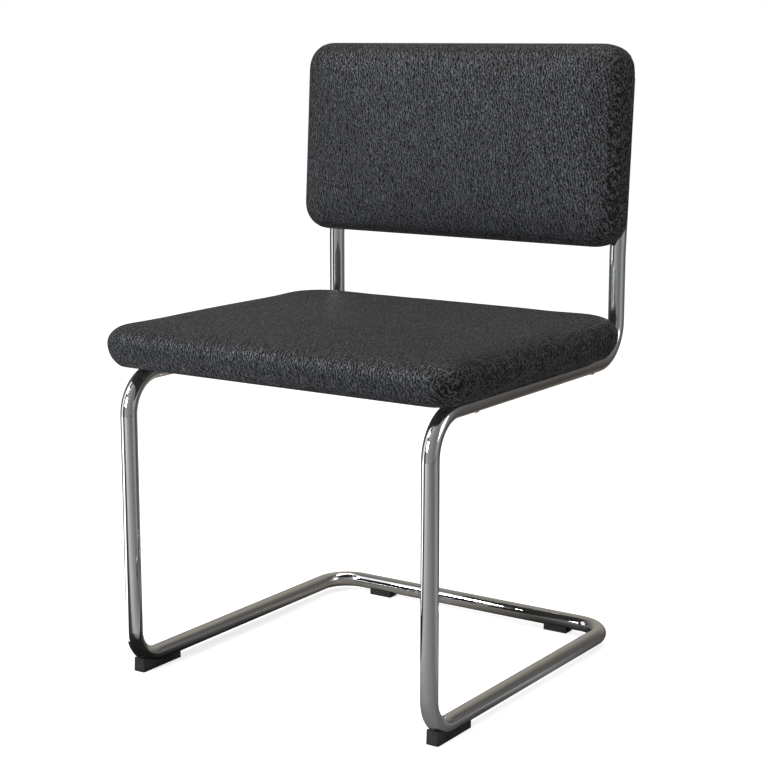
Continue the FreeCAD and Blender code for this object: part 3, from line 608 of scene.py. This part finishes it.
def hull_copy(node, name):
    """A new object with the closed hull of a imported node."""
    piece = bpy.data.objects.new(name, node.data.copy())
    bpy.context.scene.collection.objects.link(piece)
    edit_all(piece)
    bpy.ops.mesh.remove_doubles(threshold=WELD_DISTANCE)
    bpy.ops.mesh.select_all(action="SELECT")
    bpy.ops.mesh.convex_hull()
    leave_edit()
    return piece


def pad_form(name, pad):
    """The pad's closed form, evenly meshed, as large as its CAD cover."""
    piece = hull_copy(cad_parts[name + "_cover"], name + "_pad_form")
    hull = hull_copy(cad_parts[name + "_cover"], name + "_hull")
    finish_with(piece, "REMESH", mode="VOXEL", voxel_size=pad["voxel"])
    finish_with(piece, "SMOOTH", factor=0.5, iterations=2)
    finish_with(piece, "SHRINKWRAP", target=hull, wrap_method="NEAREST_SURFACEPOINT")
    bpy.data.objects.remove(hull)
    edit_all(piece)
    bpy.ops.mesh.normals_make_consistent(inside=False)
    leave_edit()
    return piece


# %% [markdown]
# The simulation is short: twenty frames, no gravity, the board side pinned. Foam can only push
# outwards, and only so far, so afterwards each point keeps just the outward part of its move,
# up to a few millimetres. The moves are then evened out between neighbours, as a stretched
# sheet evens them out.

# %% Fill a pad
HELD_DEPTH = 0.004
SIMULATED_FRAMES = 20
FOAM_PRESSURE = 4.0
MOST_SWELL = 0.0035
EVENING_ROUNDS = 8


def fill(piece, pad):
    """Swells the form with pressure and applies the result."""
    start = [vertex.co.copy() for vertex in piece.data.vertices]
    outwards = [vertex.normal.copy() for vertex in piece.data.vertices]
    held = piece.vertex_groups.new(name="on the board")
    held.add([i for i, co in enumerate(start) if depth_in(pad, co) < HELD_DEPTH], 1.0, "REPLACE")
    choose(piece)
    cloth = piece.modifiers.new("Foam pressure", "CLOTH")
    cloth.settings.use_pressure = True
    cloth.settings.uniform_pressure_force = FOAM_PRESSURE
    cloth.settings.vertex_group_mass = held.name
    cloth.settings.effector_weights.gravity = 0
    cloth.point_cache.frame_start = 1
    cloth.point_cache.frame_end = SIMULATED_FRAMES
    for number in range(1, SIMULATED_FRAMES + 1):
        bpy.context.scene.frame_set(number)
    bpy.ops.object.modifier_apply(modifier=cloth.name)
    bpy.context.scene.frame_set(1)
    pushes = []
    for vertex, before, outward in zip(piece.data.vertices, start, outwards):
        push = (vertex.co - before).dot(outward)
        pushes.append(min(max(push, 0.0), MOST_SWELL))
    neighbours = [[] for _ in pushes]
    for edge in piece.data.edges:
        one, other = edge.vertices
        neighbours[one].append(other)
        neighbours[other].append(one)
    for _ in range(EVENING_ROUNDS):
        pushes = [
            (pushes[i] + sum(pushes[j] for j in near)) / (1 + len(near))
            for i, near in enumerate(neighbours)
        ]
    for vertex, before, outward, push in zip(piece.data.vertices, start, outwards, pushes):
        vertex.co = before + outward * push
    piece.vertex_groups.clear()
    print(piece.name, "swelled by up to", round(max(pushes) * 1000, 1), "mm")


# %% [markdown]
# The leather is a sheet, not a block. So the filled form is cut open on the board side, where
# the real cover ends in a turned-in strip, and is then given its thickness inwards. The packed
# dust cloth and rear panel close the opening, as on the real pads.

# %% Cut the leather open and give it thickness
LEATHER_THICKNESS = 0.0012


def leather_sheet(piece, pad):
    """Opens the filled form on its board side and makes a sheet of it."""
    half, low, high = pad["opening"]
    sideways = Vector((1, 0, 0))
    near_end = pad["foot"] + pad["along"] * low
    far_end = pad["foot"] + pad["along"] * high

    def on_board(middle):
        return depth_in(pad, middle) < HELD_DEPTH

    def in_opening(middle):
        run = (middle - near_end).dot(pad["along"])
        return on_board(middle) and abs(middle.x) < half and 0 < run < high - low

    edit_all(piece)
    select_faces(piece, on_board).select_flush_mode()
    for place, normal in (
        (sideways * half, sideways),
        (sideways * -half, sideways),
        (near_end, pad["along"]),
        (far_end, pad["along"]),
    ):
        bpy.ops.mesh.bisect(plane_co=place, plane_no=normal)
        select_faces(piece, on_board)
    select_faces(piece, in_opening)
    bpy.ops.mesh.delete(type="FACE")
    leave_edit()
    finish_with(piece, "SOLIDIFY", thickness=LEATHER_THICKNESS, offset=-1.0)


# %% [markdown]
# The foam fills what is left: the same filled form, smaller by the leather, cut off level with
# the board's underside, with a pocket where the board sits.

# %% Cut the foam to fit
FOAM_CLEARANCE = 0.0022
FOAM_START = 0.0016
POCKET_CLEARANCE = 0.0003


def foam_core(form, name, pad):
    """A new object with the foam that fits inside the leather and round the board."""
    core = bpy.data.objects.new(name + "_foam_core", form.data.copy())
    bpy.context.scene.collection.objects.link(core)
    edit_all(core)
    bpy.ops.transform.shrink_fatten(value=-FOAM_CLEARANCE)
    bpy.ops.mesh.bisect(
        plane_co=pad["foot"] + pad["outward"] * FOAM_START,
        plane_no=pad["outward"],
        use_fill=True,
        clear_inner=True,
    )
    leave_edit()
    pocket = hull_copy(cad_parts[name + "_board"], name + "_pocket")
    edit_all(pocket)
    bpy.ops.mesh.normals_make_consistent(inside=False)
    bpy.ops.transform.shrink_fatten(value=POCKET_CLEARANCE)
    leave_edit()
    finish_with(core, "BOOLEAN", operation="DIFFERENCE", object=pocket, solver="EXACT")
    bpy.data.objects.remove(pocket)
    return core


# %% [markdown]
# Both pads are made in the same way: the form is filled, the foam is cut from a copy of it, and
# the form itself becomes the leather.

# %% Make both pads
FOLD_ANGLE = math.radians(50)
cores = {}
for name, pad in PADS.items():
    form = pad_form(name, pad)
    fill(form, pad)
    cores[name] = foam_core(form, name, pad)
    finish_with(form, "SUBSURF", levels=1, render_levels=1)
    leather_sheet(form, pad)
    form.name = name + "_leather"
    form.data.name = form.name
    for piece, finish in ((form, leather), (cores[name], foam)):
        piece.data.materials.clear()
        piece.data.materials.append(finish)
        choose(piece)
        bpy.ops.object.shade_smooth_by_angle(angle=FOLD_ANGLE)
        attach(piece, "root")
    print(name, "leather has", len(form.data.polygons), "faces")

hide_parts("seat_cover")
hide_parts("seat_foam")
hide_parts("back_cover")
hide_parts("back_foam")

# %% [markdown]
# ## The studio
#
# The photograph is a cut-out on pure white, with no shadow to be seen. Here too everything
# round the chair is white for the rays that see a background: those from the camera, and those
# that a mirror or a pane of glass sends on. So metal shows the same white as the camera does.

# %% Which rays see the background


def background_rays(tree):
    """1 for rays from the camera, a mirror or glass, and 0 for the light on the object."""
    rays = add_node(tree, "LightPath")
    total = rays.outputs["Is Camera Ray"]
    for kind in ("Is Glossy Ray", "Is Transmission Ray"):
        either = add_node(tree, "Math", operation="MAXIMUM")
        join(tree, total, either.inputs[0])
        join(tree, rays.outputs[kind], either.inputs[1])
        total = either.outputs["Value"]
    return total


# %% [markdown]
# The floor is pale and matt, and keeps a faint shadow. It glows for those rays, just enough to
# be white.

# %% The floor
FLOOR_SIZE = 14
FLOOR_TONE = 0.86
FLOOR_GLOW = 0.66
bpy.ops.mesh.primitive_plane_add(size=FLOOR_SIZE, location=(0, 0, 0))
floor = bpy.context.object
floor.name = "studio_floor"
floor_paint, floor_tree, floor_shader, _ = new_finish("pale matt floor", Roughness=0.9)
floor_shader.inputs["Base Color"].default_value = (FLOOR_TONE, FLOOR_TONE, FLOOR_TONE, 1)
floor_shader.inputs["Emission Color"].default_value = (1, 1, 1, 1)
glow = add_node(floor_tree, "Math", operation="MULTIPLY")
glow.inputs[1].default_value = FLOOR_GLOW
join(floor_tree, background_rays(floor_tree), glow.inputs[0])
join(floor_tree, glow.outputs["Value"], floor_shader.inputs["Emission Strength"])
floor.data.materials.append(floor_paint)

# %% [markdown]
# The world is white for those rays too, and a dimmer, slightly cool grey as a light.

# %% The world
AMBIENT = 0.42
COOLNESS = 1.02
world = bpy.data.worlds.new("studio")
bpy.context.scene.world = world
world.use_nodes = True
sky = world.node_tree
seen = add_node(sky, "Mix", data_type="RGBA")
seen.inputs[MIX_LOW].default_value = (AMBIENT, AMBIENT, AMBIENT * COOLNESS, 1)
seen.inputs[MIX_HIGH].default_value = (1, 1, 1, 1)
join(sky, background_rays(sky), seen.inputs["Factor"])
join(sky, seen.outputs[MIX_COLOUR], sky.nodes["Background"].inputs["Color"])

# %% [markdown]
# White alone makes chrome vanish on a white page. So a grey mat lies under it and grey boards
# stand round it, with a gap where a bright line is wanted. The tubes in the photograph reflect
# such tones: pale ones at the front left and at the right, black beside the gap at the far
# left, and dark ones behind the right side. The boards here are a ring whose tone changes with
# the compass direction. They are not lit but glow with that tone: painted light that the chrome
# shows as a painted reflection. The mat carries the same tones inwards as its own colour and is
# lit by the lamps. Only reflections see them, and they cast no shadow.
#
# Each tone below has its direction in degrees, counted from the camera and positive to its
# right, then its brightness and its tint.

# %% The tones of the boards
TINTS = {"plain": (1.0, 1.0, 1.0), "warm": (1.08, 1.0, 0.86), "cool": (0.95, 1.0, 1.01)}
BOARD_TONES = [
    (-180, 0.25, "warm"), (-125, 0.07, "plain"), (-102, 0.07, "plain"), (-80, 0.0, "plain"),
    (-62, 0.0, "plain"), (-50, 0.40, "plain"), (-20, 0.25, "plain"), (34, 0.13, "cool"),
    (68, 0.33, "cool"), (98, 0.10, "plain"), (115, 0.05, "warm"), (160, 0.25, "warm"),
    (180, 0.25, "warm"),
]
GAP = (-103, -80)


def bearing_of(place):
    """Degrees from the camera's direction to a place, positive to the camera's right."""
    turned = Vector(place)
    turned.rotate(Matrix.Rotation(-math.radians(CAMERA_TURN), 3, "Z"))
    return math.degrees(math.atan2(turned.x, -turned.y))


def tone_at_bearing(tree, place):
    """The tone of the boards in the compass direction of a place."""
    compass = add_node(tree, "VectorRotate", rotation_type="Z_AXIS")
    compass.inputs["Angle"].default_value = -math.radians(CAMERA_TURN)
    join(tree, place, compass.inputs["Vector"])
    parts = add_node(tree, "SeparateXYZ")
    join(tree, compass.outputs["Vector"], parts.inputs["Vector"])
    flipped = add_node(tree, "Math", operation="MULTIPLY")
    flipped.inputs[1].default_value = -1.0
    join(tree, parts.outputs["Y"], flipped.inputs[0])
    bearing = add_node(tree, "Math", operation="ARCTAN2")
    join(tree, parts.outputs["X"], bearing.inputs[0])
    join(tree, flipped.outputs["Value"], bearing.inputs[1])
    share = add_node(tree, "Math", operation="MULTIPLY_ADD")
    share.inputs[1].default_value = 1 / (2 * math.pi)
    share.inputs[2].default_value = 0.5
    join(tree, bearing.outputs["Value"], share.inputs[0])
    tones = add_node(tree, "ValToRGB")
    stops = tones.color_ramp.elements
    stops.remove(stops[1])
    for number, (degrees, grey, tint) in enumerate(BOARD_TONES):
        position = degrees / 360 + 0.5
        stop = stops[0] if number == 0 else stops.new(position)
        stop.position = position
        stop.color = (*[grey * part for part in TINTS[tint]], 1)
    join(tree, share.outputs["Value"], tones.inputs["Fac"])
    return tones.outputs["Color"]


# %% [markdown]
# The mat lies a hair above the floor. Its gap would also show white close to the feet, where
# the runners would look cut, so a small round mat without a gap lies on top in the middle.

# %% Set up the boards and the mat
RING_RADIUS = 3.0
RING_SIDES = 180
BOARD_HEIGHT = 8.0
MAT_LIFT = 0.0003
MAT_MIDDLE = 0.4


def stage_for_mirrors(piece, name, gap=True):
    """Opens the gap in a staged piece, if it has one, and lets only reflections see it."""
    piece.name = name

    def in_gap(middle):
        return GAP[0] < bearing_of(piece.matrix_world @ middle) < GAP[1]

    if gap:
        edit_all(piece)
        select_faces(piece, in_gap)
        bpy.ops.mesh.delete(type="FACE")
        leave_edit()
    piece.visible_camera = False
    piece.visible_diffuse = False
    piece.visible_transmission = False
    piece.visible_shadow = False


bpy.ops.mesh.primitive_cylinder_add(
    vertices=RING_SIDES,
    radius=RING_RADIUS,
    depth=BOARD_HEIGHT,
    end_fill_type="NOTHING",
    location=(0, 0, BOARD_HEIGHT / 2),
)
boards = bpy.context.object
board_paint, board_tree, board_shader, board_place = new_finish("grey boards")
# The boards are not lit: they glow with their tones, painted light that only reflections show.
board_shader.inputs["Base Color"].default_value = (0, 0, 0, 1)
board_shader.inputs["Emission Strength"].default_value = 1.0
join(board_tree, tone_at_bearing(board_tree, board_place), board_shader.inputs["Emission Color"])
boards.data.materials.append(board_paint)
stage_for_mirrors(boards, "studio_boards")

mat_paint, mat_tree, mat_shader, mat_place = new_finish("grey felt mat", Roughness=1.0)
join(mat_tree, tone_at_bearing(mat_tree, mat_place), mat_shader.inputs["Base Color"])
for name, radius, lift, gap in (
    ("studio_mat", RING_RADIUS, MAT_LIFT, True),
    ("studio_mat_middle", MAT_MIDDLE, 2 * MAT_LIFT, False),
):
    bpy.ops.mesh.primitive_circle_add(
        vertices=RING_SIDES, radius=radius, fill_type="TRIFAN", location=(0, 0, lift)
    )
    bpy.context.object.data.materials.append(mat_paint)
    stage_for_mirrors(bpy.context.object, name, gap)
print("boards", RING_RADIUS, "m away,", BOARD_HEIGHT, "m high")

# %% [markdown]
# Four soft lamps light the leather. The key is small and stands high at the front left, so
# that the ridges of the grain stand out. A larger one in front lights the faces of both pads.
# A broad warm panel overhead lifts the top of the seat, and a weak warm one at the right keeps
# that side from going black.

# %% The lamps


def add_lamp(name, place, aim, size, watts, colour):
    """A square soft lamp at place that points at aim."""
    bpy.ops.object.light_add(type="AREA", location=place)
    lamp = bpy.context.object
    lamp.name = name
    lamp.data.size = size
    lamp.data.energy = watts
    lamp.data.color = colour
    lamp.rotation_euler = (Vector(aim) - Vector(place)).to_track_quat("-Z", "Y").to_euler()
    lamp.visible_camera = False


MIDDLE = (0, 0, 0.45)
add_lamp("key_lamp", (-1.42, -1.62, 1.9), MIDDLE, 0.45, 26, (0.95, 0.98, 1.0))
add_lamp("front_lamp", (-0.75, -2.5, 1.2), MIDDLE, 0.9, 30, (0.90, 0.96, 1.0))
add_lamp("top_lamp", (0.1, 0.3, 2.6), MIDDLE, 1.6, 22, (1.0, 0.89, 0.78))
add_lamp("side_lamp", (2.2, 0.4, 1.1), MIDDLE, 1.0, 5, (1.0, 0.89, 0.78))

# %% Leave nothing selected
for obj in bpy.context.selected_objects:
    obj.select_set(False)
